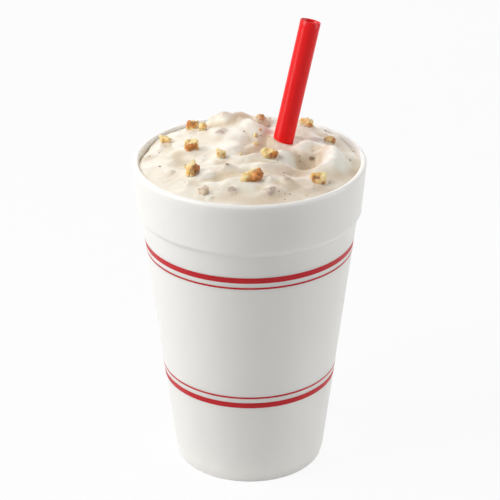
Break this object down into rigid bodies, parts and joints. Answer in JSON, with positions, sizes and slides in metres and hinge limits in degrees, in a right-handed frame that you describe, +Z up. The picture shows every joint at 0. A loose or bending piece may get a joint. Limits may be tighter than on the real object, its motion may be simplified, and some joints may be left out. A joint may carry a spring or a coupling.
{
  "type": "milkshake",
  "caption": "Thick pale milkshake with chopped walnuts, heaped over the rim of a tapered disposable foam cup with a stacking band, and a wide straw leaning in it.",
  "frame": {"origin": "middle of the foot, on the surface that the cup stands on", "axes": "+Z up along the cup's axis, -Y to the front as it is shown, +X to the right, the side that the straw leans to"},
  "size_m": [0.095, 0.095, 0.1889],
  "materials": {
    "foam": "satin",
    "stripe": "satin",
    "shake": "satin",
    "straw_plastic": "gloss",
    "walnut": "satin"
  },
  "bodies": {
    "root": {"cup": "foam", "milkshake": "shake", "straw": "straw_plastic", "nut_back_left": "walnut", "nut_back_small": "walnut", "nut_left": "walnut", "nut_shelf": "walnut", "nut_middle": "walnut", "nut_front_left": "walnut", "nut_front": "walnut", "nut_fold": "walnut", "nut_skyline": "walnut", "nut_behind_straw": "walnut", "nut_back_right": "walnut", "nut_front_right": "walnut", "nut_covered": "walnut"}
  },
  "joints": []
}
